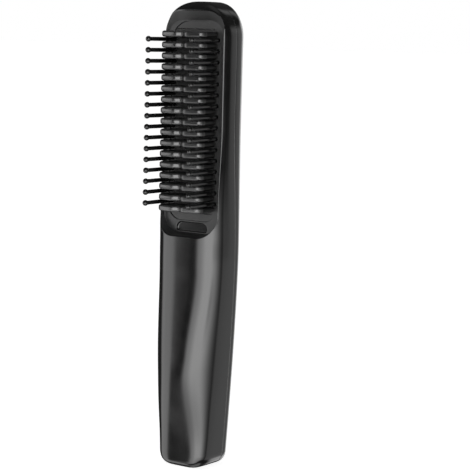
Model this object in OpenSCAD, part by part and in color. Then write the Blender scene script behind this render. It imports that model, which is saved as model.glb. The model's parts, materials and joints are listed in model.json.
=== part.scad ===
// Cordless hair straightening brush, standing on the foot of its handle.
// X is the width, the teeth point to -Y, the handle runs up +Z.
// Y = 0 is a plane through the handle; the origin is on the flat foot.

/* [Body] */
// Overall length, foot to crown
body_len = 204; // [180:1:230]
// Width of the head
head_w = 34; // [33:0.5:38]
// Width that the handle tapers to at the foot
foot_w = 24.6; // [22:0.1:30]
// Wall of both casings
wall = 1.8; // [1.4:0.1:2]
// Radius that rounds the crown
crown_round = 15; // [13:0.5:16]
// Radius that rounds the foot
foot_round = 6; // [4:0.5:7]

/* [Side profile] */
// Reach of the front at the crown
head_front = 9.2; // [9:0.1:10.5]
// Reach of the front at the waist, just under the comb
waist_front = 13.1; // [12.4:0.1:14.5]
// Reach of the front at the palm swell
grip_front = 16.8; // [15.5:0.1:18.5]
// Reach of the front at the foot
foot_front = 13.4; // [12.5:0.1:15]
// Reach of the back at the crown
back_head = 8.9; // [8.7:0.1:10.5]
// Reach of the back at the foot
back_foot = 7.7; // [7.6:0.1:9]
// Place of the parting line at the head
part_head = -0.2; // [-0.6:0.1:0.4]
// Place of the parting line in the handle
part_foot = 2.5; // [2.2:0.1:2.8]
// Height of the palm swell
grip_z = 44; // [40:1:50]

/* [Comb opening] */
// Room above and below the rows of teeth, out to the rim
bed_margin = 11.4; // [11:0.1:13]
// Half width of the opening
rim_x = 15.5; // [15:0.1:15.8]
// Distance from the crown to the opening
rim_top = 3.8; // [3.4:0.1:5]
// Depth of the comb floor
floor_y = 6.5; // [6.2:0.1:6.8]
// Half width of the comb floor
floor_x = 13.1; // [12.9:0.1:13.4]

/* [Comb and bristles] */
// Number of bristle rows
rows = 16; // [8:1:16]
// Distance between rows
pitch = 4.7; // [4.5:0.05:4.75]
// Thickness of a tooth
tooth_t = 2.5; // [2:0.1:2.6]
// Half width of a tooth
tooth_x = 11.5; // [10.8:0.1:11.8]
// Reach of the tooth tips
tooth_y = 18.8; // [17:0.1:20]
// Height of the cool tip on each tooth
tip_h = 4.4; // [3.8:0.1:5]
// Reach of the bristle tips
bristle_y = 26.5; // [23:0.1:28]
// Distance of the bristles from the middle
bristle_x = 11.6; // [11.5:0.05:11.7]
// Diameter of a bristle
bristle_d = 1.8; // [1.4:0.1:1.9]
// Diameter of the ball on its tip
ball_d = 2.5; // [2.2:0.1:3]

/* [Button] */
// Height of the button
button_z = 36.2; // [34:0.2:38]
// Diameter of the button cap
button_d = 9.8; // [9:0.1:10.2]
// Width of the gold ring
ring_w = 0.7; // [0.6:0.1:1]
// Travel of the button
button_travel = 0.6; // [0.4:0.05:0.6]
// Running clearance of the cap in its ring
button_gap = 0.08; // [0.05:0.01:0.1]

/* [Inside] */
// Thickness of the circuit board
board_t = 1.2; // [1:0.1:1.6]
// Width of the circuit board
board_w = 19; // [18:0.5:20]
// Length of the circuit board
board_len = 56; // [52:1:58]
// Width of the battery
cell_w = 22; // [18:0.5:22]
// Thickness of the battery
cell_t = 9; // [7:0.5:9.5]
// Length of the battery
cell_len = 46; // [40:1:48]
// Width of the heater
heater_w = 14; // [10:0.5:16]
// Thickness of the heater
heater_t = 2; // [1.6:0.1:2.2]
// Nominal diameter of the screws
screw_d = 2; // [1.8:0.1:2.2]

/* [Hidden] */

charcoal = [0.15, 0.15, 0.16];
seat_gap = 0.15;      // fit of pieces that drop into one another
play = 0.3;           // room between pieces that only pass one another
front_turns = 20;     // facets round the front half of a section
back_turns = 14;      // facets round the back half
rim_z = body_len - rim_top - rows * pitch - 2 * bed_margin;
waist_z = rim_z - 6;  // height of the waist
taper_z = rim_z - 8.2;  // the handle starts to narrow here
shoulder_z = rim_z + 47; // the flat front of the head starts here
swell_z = rim_z - 13;   // the palm swell starts here
foot_edge = 3;        // softening of the foot's front and back edges
front_edge = 6;       // softening of the crown's front edge
back_edge = 2;        // softening of the crown's back edge

function smooth(t) = let (u = min(max(t, 0), 1)) u * u * (3 - 2 * u);
function blend(a, b, t) = a + (b - a) * smooth(t);
function arc_drop(d, r) = r - sqrt(r * r - pow(min(max(d, 0), r), 2));

// Half width of the body at height z.
function half_w(z) = head_w / 2
    - (head_w - foot_w) / 2 * pow(max(taper_z - z, 0) / taper_z, 1.5)
    - arc_drop(z - body_len + crown_round, crown_round)
    - arc_drop(foot_round - z, foot_round);

// How far the ends are drawn in by their softened edges.
function edge_drop(z, crown_edge) = arc_drop(foot_edge - z, foot_edge)
    + arc_drop(z - body_len + crown_edge, crown_edge);

// Reach of the front and of the back, and the parting line, at height z.
function front_reach(z) = head_front
    + (waist_front - head_front) * smooth((shoulder_z - z) / 45)
    + (grip_front - waist_front) * smooth((swell_z - z) / (swell_z - grip_z))
    + (foot_front - grip_front) * smooth((grip_z - z) / 35);
function back_reach(z) = back_foot + (back_head - back_foot) * z / body_len;
function parting(z) = blend(part_foot, part_head, (z - taper_z) / 60);

// Squareness of the front: flat at the head, round at the palm, firmer at the foot.
function front_power(z) = 8 - 4 * smooth((shoulder_z - z) / 50)
    - 0.7 * smooth((swell_z - z) / 45) + 2.7 * smooth((grip_z - z) / grip_z);
back_power = 4;

// One half of a section: side -1 is the front, 1 the back.
// The ends of the curve lie on the parting line, moved by chord.
function curve(z, w, reach, power, side, turns, chord) = concat(
    chord == 0 ? [] : [[w, parting(z) + side * chord, z]],
    [for (i = [0:turns])
        let (a = 180 * i / turns, c = cos(a), s = sin(a))
        [w * sign(c) * pow(abs(c), 2 / power),
         parting(z) + side * reach * pow(abs(s), 2 / power), z]],
    chord == 0 ? [] : [[-w, parting(z) + side * chord, z]]);

function front_curve(z, inset, chord) = curve(z, half_w(z) - inset,
    front_reach(z) - edge_drop(z, front_edge) - inset + parting(z), front_power(z),
    -1, front_turns, chord);
function back_curve(z, inset, chord) = curve(z, half_w(z) - inset,
    back_reach(z) - edge_drop(z, back_edge) - inset - parting(z), back_power,
    1, back_turns, chord);

// Heights of the rings: close where an end curves, wide apart between.
function ring_heights(steps) = concat(
    [for (a = [0:18:90]) foot_round * (1 - cos(a))],
    [for (i = [1:steps - 1])
        foot_round + (body_len - crown_round - foot_round) * i / steps],
    [for (a = [90:-10:0]) body_len - crown_round * (1 - cos(a))]);

// Heights for a hollow, close where the foot curves.
function hollow_heights(high, steps) = concat(
    [for (i = [0:3]) wall + (foot_round - wall) * i / 4],
    [for (i = [0:steps]) foot_round + (high - foot_round) * i / steps]);

// Solid skinned over a stack of rings with the same number of points.
module skin(rings, turned = false) {
    n = len(rings[0]);
    last = len(rings) - 1;
    sides = [for (k = [0:last - 1], i = [0:n - 1])
        let (a = k * n + i, b = k * n + (i + 1) % n)
        each [[a, b, b + n], [a, b + n, a + n]]];
    ends = [[for (i = [n - 1:-1:0]) i], [for (i = [0:n - 1]) last * n + i]];
    faces = concat(sides, ends);
    polyhedron([for (ring = rings) each ring],
        turned ? [for (f = faces) [for (i = [len(f) - 1:-1:0]) f[i]]] : faces);
}

// Extrudes a drawing in X and Z from y = from to y = to.
module through(from, to) {
    translate([0, to, 0]) rotate([90, 0, 0]) linear_extrude(to - from) children();
}

// Rounded rectangle given by its edges, with one radius at the top and one below.
module plate_2d(half, low, high, r_top, r_low) {
    module side() {
        difference() {
            translate([0, low]) square([half, high - low]);
            translate([half - r_top, high - r_top]) square(r_top + 1);
            translate([half - r_low, low - 1]) square([r_low + 1, r_low + 1]);
        }
        translate([half - r_top, high - r_top]) circle(r_top, $fn = 32);
        translate([half - r_low, low + r_low]) circle(r_low, $fn = 32);
    }
    side();
    mirror([1, 0]) side();
}

module rod_y(d, from, to) {
    translate([0, to, 0]) rotate([90, 0, 0]) cylinder(d = d, h = to - from, $fn = 32);
}

// Hollow of the head, behind the comb frame
hollow_x = head_w / 2 - wall - 0.1;
hollow_top = body_len - wall;
shelf_y = floor_y - 1.5;       // the comb frame bears on this shelf
hollow_low = rim_z - 2.6;
hollow_round = crown_round - 1;

// Comb floor outline
floor_low = rim_z + 6.6;
floor_top = body_len - rim_top - 4.6;
floor_round = 9.5;
land_low = rim_z + 1.4;        // the casing carries the floor on down to here
rim_round = 8;
rim_round_low = 11;
scoop_x = 8.4;
scoop_round = 3;
scoop_depth = 0.7;

// Rows, counted down from the top
first_row = floor_top - 8.1;
function row_z(i) = first_row - pitch * i;
function tooth_z(j) = first_row + pitch / 2 - pitch * j;

// Levels behind the comb, each behind the one before
frame_back = shelf_y - 1.5;
comb_x = bristle_x - 1.4;
comb_low = tooth_z(rows) - tooth_t / 2 - 1.1;
comb_top = tooth_z(0) + tooth_t / 2 + 1.1;
cover_x = hollow_x - 0.4;
cover_low = hollow_low + 1.2;
cover_top = hollow_top - 1.6;
cover_t = 3.8;
cover_back = frame_back - cover_t;
mica_t = 0.3;
lip_t = 0.8;                   // lip that keeps the comb behind its frame
lip_h = 1.2;
heater_len = comb_top - comb_low - 10;
heater_mid = (comb_top + comb_low) / 2;
lead_d = 1.1;
lead_x = 3;
terminal_z = heater_mid - heater_len / 2 + 5;

// Screws through the heater cover
screw_spots = [[-11, rim_z + 2.3], [11, rim_z + 2.3],
    [-4.5, body_len - 5.6], [4.5, body_len - 5.6]];
head_d = screw_d * 1.7;
head_h = 1.2;
pilot_d = screw_d;
bite = 2;

// Circuit board and what it carries
board_y = part_foot - 0.2;     // face towards the battery
board_z = wall + 1.9;
board_back = board_y + board_t;
post_x = 7;
post_spots = [[-post_x, board_z + 14], [post_x, board_z + 14],
    [-post_x, board_z + board_len - 5], [post_x, board_z + board_len - 5]];
post_d = 4.4;

// Charging socket
socket_w = 8.94;
socket_h = 3.2;
socket_len = 7.35;
socket_y = (board_y + board_back) / 2;
port_gap = 0.25;

// Button stack, worked out from the back surface
function back_at(z) = back_reach(z);
button_face = back_at(button_z);
ring_d = button_d + 2 * button_gap + 2 * ring_w;
switch_w = 6;
switch_h = 1.7;
stem_d = 3;
stem_top = board_back + switch_h + 0.9;

// Battery
cell_low = rim_z - 10.2 - cell_len;
cell_y = 8.2;                  // its face towards the front
pad_t = 0.8;
stop_x = lead_x - 1;           // the stop stands between the heater leads

module front_outer() {
    skin([for (z = ring_heights(19)) front_curve(z, 0, 0)]);
}

module back_outer() {
    skin([for (z = ring_heights(19)) back_curve(z, 0, 0)], true);
}

// Hollow of the handle in the front casing, which reaches past the parting line
module handle_hollow() {
    skin([for (z = hollow_heights(hollow_low + 0.6, 12))
        front_curve(z, wall, -1)]);
}

// Hollow of the rear casing, from foot to crown
module back_hollow() {
    crown = crown_round - wall;
    skin([for (z = concat(hollow_heights(body_len - crown_round, 16),
            [for (a = [75:-15:0]) body_len - wall - crown * (1 - cos(a))]))
        back_curve(z, wall, -1)], true);
}

module head_hollow(from, to) {
    through(from, to)
        plate_2d(hollow_x, hollow_low, hollow_top, hollow_round, 1);
}

// Dish from the rim of the opening down to the comb floor
module dish() {
    far = 12;
    rim_top_z = body_len - rim_top;
    slope = (rim_x - floor_x) / 1.8;
    top_slope = (rim_top_z - floor_top)
        / (head_front - edge_drop(rim_top_z, front_edge) - floor_y);
    low_slope = (land_low - rim_z) / (waist_front - floor_y);
    intersection() {
        through(-floor_y - far, -floor_y + 1)
            plate_2d(rim_x, rim_z, rim_top_z, rim_round, rim_round_low);
        hull() {
            through(-floor_y, -floor_y + 0.01)
                plate_2d(floor_x, land_low, floor_top, floor_round, floor_round);
            through(-floor_y - far, -floor_y - far + 0.01)
                plate_2d(floor_x + slope * far, land_low - low_slope * far,
                    floor_top + top_slope * far, 4, rim_round_low);
        }
    }
}

// Shallow scoop under the last tooth
module scoop() {
    through(-waist_front, -floor_y + scoop_depth)
        plate_2d(scoop_x, land_low + 0.2, floor_low - 0.6, scoop_round, 1);
}

module charging_port() {
    r = socket_h / 2 + port_gap;
    x = socket_w / 2 + port_gap - r;
    translate([0, socket_y, -1]) {
        for (s = [-1, 1]) translate([s * x, 0, 0]) cylinder(r = r, h = wall + 2, $fn = 32);
        translate([-x, -r, 0]) cube([2 * x, 2 * r, wall + 2]);
    }
}

// Catches near the seam: hooks on the rear casing, pockets in the front one
hook_spots = [for (part = [0.176, 0.57, 0.9]) rim_z * part];
hook_w = 5;
hook_t = 1.3;
hook_in = 0.2;

module hook_pockets() {
    for (z = hook_spots, s = [-1, 1])
        translate([s * (half_w(z) - wall + 0.2), parting(z) - 4.6, z])
            cube([1.2, 1.6, hook_w + 2 * play], center = true);
}

module hooks() {
    for (z = hook_spots, s = [-1, 1])
        translate([s * (half_w(z) - wall - hook_in - hook_t / 2), 0, z]) {
            translate([0, parting(z) - 1.1, 0]) cube([hook_t, 8.6, hook_w], center = true);
            translate([s * (hook_t / 2 + 0.2), parting(z) - 4.6, 0])
                cube([0.6, 1, hook_w], center = true);
        }
}

// Tongue that keeps the crown closed
module crown_tongue() {
    translate([-2.5, part_head - 2.6, hollow_top - 1.4]) cube([5, 6, 1.2]);
    translate([-2.5, part_head + 0.2, hollow_top - 1.4]) cube([5, 3.2, 2]);
}

// Stop behind the battery
module cell_stop() {
    translate([-stop_x, -cell_y + cell_t + pad_t, cell_low + cell_len - 6])
        cube([2 * stop_x, back_at(cell_low) + cell_y - cell_t - pad_t - wall / 2, 1.6]);
}

// Ribs that carry the battery
module cell_ribs() {
    for (z = [cell_low + 5, cell_low + cell_len - 5])
        translate([-7, -front_reach(z) + wall - 0.7, z - 0.75])
            cube([14, front_reach(z) - wall + 0.7 - cell_y - pad_t, 1.5]);
}

module front_casing() {
    color(charcoal) {
        difference() {
            front_outer();
            handle_hollow();
            head_hollow(-shelf_y, part_foot + 1);
            dish();
            through(-floor_y - 0.5, -shelf_y + 0.5)
                plate_2d(floor_x, floor_low, floor_top, floor_round, floor_round - 3);
            scoop();
            charging_port();
            hook_pockets();
            for (p = screw_spots) translate([p[0], 0, p[1]])
                rod_y(pilot_d, -shelf_y - bite, -shelf_y + 0.5);
        }
        cell_ribs();
    }
}

module rear_casing() {
    color(charcoal) {
        difference() {
            back_outer();
            back_hollow();
            charging_port();
            translate([0, 0, button_z]) rod_y(ring_d + 0.2, 4, 12);
            translate([0, button_face - 0.35, button_z]) rotate([-90, 0, 0])
                cylinder(d1 = ring_d + 0.2, d2 = ring_d + 2, h = 0.9, $fn = 48);
        }
        for (p = post_spots) translate([p[0], 0, p[1]]) difference() {
            rod_y(post_d, board_back, back_at(p[1]) - wall / 2);
            rod_y(pilot_d, board_back - 1, board_back + 2.2);
        }
        hooks();
        crown_tongue();
        cell_stop();
    }
}

// Frame that carries the comb and the bristle strips
module comb_frame() {
    color([0.12, 0.12, 0.13]) difference() {
        union() {
            through(-shelf_y, -frame_back)
                plate_2d(cover_x, cover_low, cover_top, hollow_round - 1, 3);
            through(-floor_y, -shelf_y)
                plate_2d(floor_x - seat_gap, floor_low + seat_gap,
                    floor_top - seat_gap, floor_round - seat_gap, floor_round - 3);
        }
        through(-floor_y - 1, 0) translate([-comb_x - seat_gap, comb_low - seat_gap])
            square([2 * (comb_x + seat_gap), comb_top - comb_low + 2 * seat_gap]);
        through(-frame_back - lip_t, 0)
            translate([-comb_x - seat_gap, comb_low - lip_h - seat_gap])
            square([2 * (comb_x + seat_gap), comb_top - comb_low + 2 * (lip_h + seat_gap)]);
        through(-floor_y - 1, -shelf_y) translate([-floor_x, strip_low - seat_gap])
            square([2 * floor_x, strip_top - strip_low + 2 * seat_gap]);
        for (s = [-1, 1], z = peg_spots) translate([s * bristle_x, 0, z])
            rod_y(peg_d + 0.1, -shelf_y - 1, 0);
        for (p = screw_spots) translate([p[0], 0, p[1]])
            rod_y(screw_d + 0.3, -shelf_y - 1, 0);
    }
}

// Strips that hold the ball-tipped bristles
strip_low = row_z(rows - 1) - 1.8;
strip_top = row_z(0) + 1.7;
strip_in = comb_x + seat_gap;
strip_out = bristle_x + 1.15;
peg_d = 1.1;
peg_spots = [row_z(1), row_z(floor(rows / 2)), row_z(rows - 2)];

module bristle_strip() {
    through(-floor_y, -shelf_y) translate([strip_in, strip_low]) difference() {
        square([strip_out - strip_in, strip_top - strip_low]);
        for (z = [0, strip_top - strip_low]) translate([strip_out - strip_in, z])
            rotate(45) square(0.7, center = true);
    }
    for (z = peg_spots) translate([bristle_x, 0, z]) rod_y(peg_d, -shelf_y, -frame_back);
    for (i = [0:rows - 1]) translate([bristle_x, 0, row_z(i)]) {
        rod_y(bristle_d, -bristle_y + ball_d / 2, -floor_y);
        translate([0, -bristle_y + ball_d / 2, 0]) sphere(d = ball_d, $fn = 24);
        rod_y(bristle_d + 0.3, -floor_y - 0.6, -floor_y);
    }
}

module bristle_strip_right() {
    color([0.05, 0.05, 0.05]) bristle_strip();
}

module bristle_strip_left() {
    color([0.05, 0.05, 0.05]) mirror([1, 0, 0]) bristle_strip();
}

// Outline of a tooth in X and Y: two rounded lobes with a dip between
lobe_r = 4.6;
dip_half = 2.6;
dip_depth = 2.2;

module tooth_2d(foot) {
    difference() {
        union() {
            translate([-tooth_x, -tooth_y + lobe_r])
                square([2 * tooth_x, tooth_y - lobe_r - foot]);
            translate([-tooth_x + lobe_r, -tooth_y])
                square([2 * (tooth_x - lobe_r), lobe_r]);
            for (s = [-1, 1]) translate([s * (tooth_x - lobe_r), -tooth_y + lobe_r])
                circle(lobe_r, $fn = 48);
        }
        polygon([[-dip_half, -tooth_y - 0.1], [0, -tooth_y + dip_depth],
            [dip_half, -tooth_y - 0.1]]);
    }
}

// Tooth with its edges rounded across its thickness
module tooth(foot) {
    intersection() {
        linear_extrude(tooth_t, center = true) tooth_2d(foot);
        rotate([0, 90, 0]) linear_extrude(2 * tooth_x + 1, center = true) {
            translate([0, -tooth_y + tooth_t / 2]) circle(d = tooth_t, $fn = 32);
            translate([-tooth_t / 2, -tooth_y + tooth_t / 2])
                square([tooth_t, tooth_y]);
        }
    }
}

tongue_t = 1.1;
tongue_h = 1.3;
tongue_x = tooth_x - 2.4;
tip_seam = tooth_y - tip_h;

module heated_comb() {
    color([0.22, 0.22, 0.23]) {
        translate([-comb_x, -floor_y, comb_low])
            cube([2 * comb_x, floor_y - frame_back, comb_top - comb_low]);
        translate([-comb_x, -frame_back - lip_t, comb_low - lip_h])
            cube([2 * comb_x, lip_t, comb_top - comb_low + 2 * lip_h]);
        for (j = [0:rows]) translate([0, 0, tooth_z(j)]) {
            difference() {
                tooth(floor_y + play);
                translate([-20, -40 - tip_seam, -5]) cube([40, 40, 10]);
            }
            translate([-comb_x, -floor_y - 1, -tooth_t / 2])
                cube([2 * comb_x, 1.5, tooth_t]);
            for (s = [-1, 1])
                translate([s * (tongue_x + dip_half + 0.6) / 2, -tip_seam - tongue_h / 2, 0])
                    cube([tongue_x - dip_half - 0.6, tongue_h, tongue_t], center = true);
        }
    }
}

module tooth_tips() {
    color([0.5, 0.5, 0.5])
    for (j = [0:rows]) translate([0, 0, tooth_z(j)]) difference() {
        tooth(floor_y + play);
        translate([-20, -tip_seam, -5]) cube([40, 40, 10]);
        for (s = [-1, 1])
            translate([s * (tongue_x + dip_half + 0.6) / 2, -tip_seam - tongue_h / 2, 0])
                cube([tongue_x - dip_half - 0.6 + 0.1, tongue_h + 0.1, tongue_t + 0.1],
                    center = true);
    }
}

module heater_plate() {
    color([0.9, 0.88, 0.82])
    translate([-heater_w / 2, -frame_back, heater_mid - heater_len / 2])
        cube([heater_w, heater_t, heater_len]);
}

module mica_sheet() {
    color([0.75, 0.68, 0.5]) difference() {
        translate([-heater_w / 2 - 0.8, -frame_back + heater_t,
                heater_mid - heater_len / 2 - 1])
            cube([heater_w + 1.6, mica_t, heater_len + 2]);
        for (s = [-1, 1]) translate([s * lead_x, 0, terminal_z])
            rod_y(lead_d + 0.4, -frame_back, 1);
    }
}

// Cover that clamps the heater to the comb, with a window for the sensors
module heater_cover() {
    pocket = heater_t + mica_t;
    color([0.8, 0.8, 0.78]) difference() {
        through(-frame_back, -cover_back)
            plate_2d(cover_x, cover_low, cover_top, hollow_round - 1, 3);
        through(-frame_back - 1, -frame_back + pocket)
            plate_2d(heater_w / 2 + 0.8 + seat_gap, heater_mid - heater_len / 2 - 1.2,
                heater_mid + heater_len / 2 + 1.2, 1, 1);
        translate([0, 0, sensor_z]) through(-frame_back, 6)
            square([sensor_w + 2 * seat_gap, 8], center = true);
        for (p = screw_spots) translate([p[0], 0, p[1]])
            rod_y(screw_d + 0.3, -frame_back - 1, 4);
        for (s = [-1, 1]) translate([s * lead_x, 0, terminal_z])
            rod_y(lead_d + 0.4, -frame_back, 6);
    }
}

// Sensors bear on the mica behind the heater
sensor_z = heater_mid + 12;
sensor_w = 12.4;
sensor_y = -frame_back + heater_t + mica_t;

module thermistor() {
    color([0.1, 0.1, 0.1]) translate([-3.8, sensor_y + 1.1, sensor_z]) {
        cylinder(d = 2.2, h = 4, center = true, $fn = 32);
        for (s = [-1, 1]) translate([s * 0.5, 0, -3.6])
            cylinder(d = 0.5, h = 2.1, $fn = 24);
    }
}

module thermal_fuse() {
    color([0.75, 0.72, 0.62]) translate([2.6, sensor_y + 1.3, sensor_z]) {
        cylinder(d = 2.6, h = 5.6, center = true, $fn = 32);
        cylinder(d = 0.7, h = 7.6, center = true, $fn = 16);
    }
}

module self_tapper(shank) {
    rod_y(pilot_d - 0.08, -shank, 0);
    difference() {
        rod_y(head_d, 0, head_h);
        for (a = [0, 90]) rotate([0, a, 0]) translate([-head_d * 0.3, head_h - 0.5, -0.25])
            cube([head_d * 0.6, 1, 0.5]);
    }
}

module cover_screws() {
    color([0.6, 0.6, 0.62])
    for (p = screw_spots) translate([p[0], -cover_back, p[1]])
        self_tapper(cover_t + shelf_y - frame_back + bite - 0.3);
}

module control_board() {
    color([0.05, 0.3, 0.15]) difference() {
        translate([-board_w / 2, board_y, board_z]) cube([board_w, board_t, board_len]);
        for (p = post_spots) translate([p[0], 0, p[1]])
            rod_y(screw_d + 0.2, board_y - 1, board_back + 1);
        translate([-socket_w / 2 - 0.1, board_y - 1, board_z - 2])
            cube([socket_w + 0.2, board_t + 2, socket_len + 0.9]);
        for (s = [-1, 1]) translate([s * (socket_w / 2 + 0.5), socket_y, board_z + 2])
            cube([1.4, board_t + 1, 1.6], center = true);
    }
}

module board_screws() {
    color([0.6, 0.6, 0.62])
    for (p = post_spots) translate([p[0], board_y, p[1]]) mirror([0, 1, 0])
        self_tapper(board_t + 1.9);
}

// Socket shell sunk half into the board's notch
module charging_socket() {
    r = socket_h / 2;
    x = socket_w / 2 - r;
    low = board_z - 1.2;
    module shell(grow, len) {
        for (s = [-1, 1]) translate([s * x, 0, 0]) cylinder(r = r - grow, h = len, $fn = 32);
        translate([-x, -r + grow, 0]) cube([2 * x, 2 * (r - grow), len]);
    }
    color([0.75, 0.75, 0.77]) translate([0, socket_y, low]) {
        difference() {
            shell(0, socket_len);
            translate([0, 0, -1]) shell(0.3, socket_len - 0.5);
        }
        translate([-3.3, -0.35, 1]) cube([6.6, 0.7, socket_len - 1.2]);
        for (s = [-1, 1]) translate([s * (socket_w / 2 + 0.4), 0, 3.2])
            cube([1.2, 1, 1.4], center = true);
    }
}

module switch_body() {
    color([0.2, 0.2, 0.2]) difference() {
        translate([-switch_w / 2, board_back, button_z - switch_w / 2])
            cube([switch_w, switch_h, switch_w]);
        translate([0, 0, button_z]) rod_y(stem_d + 0.2, board_back + 0.8, 10);
    }
}

module switch_stem() {
    color([0.85, 0.8, 0.3]) translate([0, 0, button_z])
        rod_y(stem_d, board_back + 0.8 + button_travel + 0.1, stem_top);
}

// Domed cap with a skirt flange behind the ring
module button_cap() {
    top = button_face + 0.45;
    dome = 0.5;
    r = button_d / 2;
    big = (r * r + dome * dome) / (2 * dome);
    flange = button_d / 2 + 0.5;
    color([0.85, 0.68, 0.3]) translate([0, 0, button_z]) rotate([-90, 0, 0]) {
        intersection() {
            translate([0, 0, stem_top]) cylinder(r = r, h = top - stem_top, $fn = 64);
            translate([0, 0, top - big]) sphere(r = big, $fn = 96);
        }
        translate([0, 0, stem_top]) cylinder(r = flange, h = 0.5, $fn = 64);
    }
}

// Gold ring pressed into the rear casing
module button_ring() {
    low = stem_top + 0.6;
    color([0.85, 0.68, 0.3]) translate([0, 0, button_z]) rotate([-90, 0, 0]) difference() {
        translate([0, 0, low]) cylinder(d = ring_d, h = button_face + 0.3 - low, $fn = 64);
        translate([0, 0, low - 1]) cylinder(d = button_d + 2 * button_gap, h = 20, $fn = 64);
    }
}

// Integrated circuits on the board's battery side: place, width, length, height
chips = [[-0.1, 0.54, 5, 4.2, 1.2], [0.21, 0.66, 4, 4, 0.9], [-0.26, 0.4, 3, 3, 1],
    [0.27, 0.46, 3.2, 2.5, 1.1]];

module control_chips() {
    color([0.08, 0.08, 0.08]) for (c = chips)
        translate([c[0] * board_w - c[2] / 2, board_y - c[4],
                board_z + c[1] * board_len - c[3] / 2])
            cube([c[2], c[4], c[3]]);
}

// Choke of the charging circuit
module storage_coil() {
    color([0.25, 0.25, 0.27]) translate([0, board_y, board_z + board_len * 0.28]) {
        rod_y(5, -2.4, 0);
        translate([-2.8, -0.6, -2.8]) cube([5.6, 0.6, 5.6]);
    }
}

module battery_cell() {
    low = cell_low;
    r = cell_t / 2 - 1.5;
    color([0.35, 0.45, 0.6]) translate([0, 0, low]) linear_extrude(cell_len) {
        translate([-cell_w / 2 + r, -cell_y]) square([cell_w - 2 * r, cell_t]);
        translate([-cell_w / 2, -cell_y + r]) square([cell_w, cell_t - 2 * r]);
        for (x = [-1, 1], y = [r, cell_t - r])
            translate([x * (cell_w / 2 - r), -cell_y + y]) circle(r, $fn = 32);
    }
}

// Foam between the battery and the casings
module battery_pads() {
    color([0.2, 0.2, 0.2]) {
        for (z = [cell_low + 5, cell_low + cell_len - 5])
            translate([-7, -cell_y - pad_t, z - 2.5]) cube([14, pad_t, 5]);
        translate([-stop_x, -cell_y + cell_t, cell_low + cell_len - 7.7])
            cube([2 * stop_x, pad_t, 5]);
    }
}

// Protection board on top of the battery
module battery_board() {
    color([0.05, 0.3, 0.15]) translate([-8, -cell_y + 2, cell_low + cell_len])
        cube([16, 4.5, 0.8]);
}

// Lead through a list of points, each straight above, below or behind the last
module lead(points) {
    for (i = [0:len(points) - 2]) {
        v = points[i + 1] - points[i];
        translate(points[i])
            rotate(v[1] == 0 ? [v[2] < 0 ? 180 : 0, 0, 0] : [v[1] > 0 ? -90 : 90, 0, 0])
            cylinder(d = lead_d, h = norm(v), $fn = 24);
        if (i > 0) translate(points[i]) sphere(d = lead_d, $fn = 24);
    }
}

// Two leads from the board to the heater, behind the cover
module heater_leads() {
    y = board_y - lead_d / 2 - 0.3;
    low = board_z + board_len - 2.5;
    color([0.7, 0.1, 0.1]) for (s = [-1, 1])
        lead([[s * lead_x, board_y, low], [s * lead_x, y, low],
            [s * lead_x, y, terminal_z], [s * lead_x, -frame_back + heater_t, terminal_z]]);
}

// Two leads from the protection board to the control board
module battery_leads() {
    x = 6.2;
    top = cell_low + cell_len + 0.8;
    y = board_y - lead_d / 2 - 0.3;
    low = board_z + board_len - 1.6;
    color([0.1, 0.1, 0.6]) for (s = [-1, 1])
        lead([[s * x, -cell_y + 4, top], [s * x, -cell_y + 4, top + 1.6],
            [s * x, y, top + 1.6], [s * x, y, low], [s * x, board_y, low]]);
}

front_casing();
rear_casing();
comb_frame();
heated_comb();
tooth_tips();
bristle_strip_left();
bristle_strip_right();
heater_plate();
mica_sheet();
heater_cover();
cover_screws();
thermistor();
thermal_fuse();
heater_leads();
battery_cell();
battery_pads();
battery_board();
battery_leads();
control_board();
board_screws();
control_chips();
storage_coil();
charging_socket();
switch_body();
switch_stem();
button_cap();
button_ring();
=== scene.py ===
import json
import math

import bpy
import numpy as np
from mathutils import Matrix, Vector
from mathutils.geometry import delaunay_2d_cdt


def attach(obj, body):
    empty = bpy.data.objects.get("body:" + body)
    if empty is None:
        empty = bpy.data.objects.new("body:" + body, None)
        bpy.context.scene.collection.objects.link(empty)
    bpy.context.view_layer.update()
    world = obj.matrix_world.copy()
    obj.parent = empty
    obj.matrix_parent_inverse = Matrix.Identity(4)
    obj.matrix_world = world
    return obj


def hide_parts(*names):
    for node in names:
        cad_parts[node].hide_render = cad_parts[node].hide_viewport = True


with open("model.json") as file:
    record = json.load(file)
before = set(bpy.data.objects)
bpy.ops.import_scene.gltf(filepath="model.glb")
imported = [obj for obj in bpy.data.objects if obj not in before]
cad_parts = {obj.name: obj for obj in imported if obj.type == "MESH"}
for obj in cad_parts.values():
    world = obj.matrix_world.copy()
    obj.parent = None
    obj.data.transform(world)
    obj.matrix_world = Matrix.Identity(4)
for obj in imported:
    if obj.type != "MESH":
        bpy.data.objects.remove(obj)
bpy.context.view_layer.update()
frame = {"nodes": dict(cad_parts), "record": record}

# A cordless hair straightening brush, standing on its foot. Lengths are in millimetres, in
# the frame of the part: Z up the handle, -Y the way the teeth point. A reach, or a name that
# ends in _Y, is a distance from the Z axis, towards -Y on the front and +Y on the back.
MM = 0.001
FRONT, BACK = -1, 1

# Body
BODY_LEN = 204.0
HEAD_W = 34.0
FOOT_W = 24.6
WALL = 1.8
CROWN_ROUND = 15.0          # corners of the outline, seen from the front
FOOT_ROUND = 6.0
FRONT_EDGE = 6.0            # rounded edges of the crown, front and back, and of the foot
BACK_EDGE = 2.0
FOOT_EDGE = 3.0
HEAD_FRONT = 9.2            # reach of the front, down the body
WAIST_FRONT = 13.1
GRIP_FRONT = 16.8
FOOT_FRONT = 13.4
BACK_HEAD = 8.9
BACK_FOOT = 7.7
PART_HEAD = -0.2            # Y of the parting line, at the crown and at the foot
PART_FOOT = 2.5
GRIP_Z = 44.0

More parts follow.
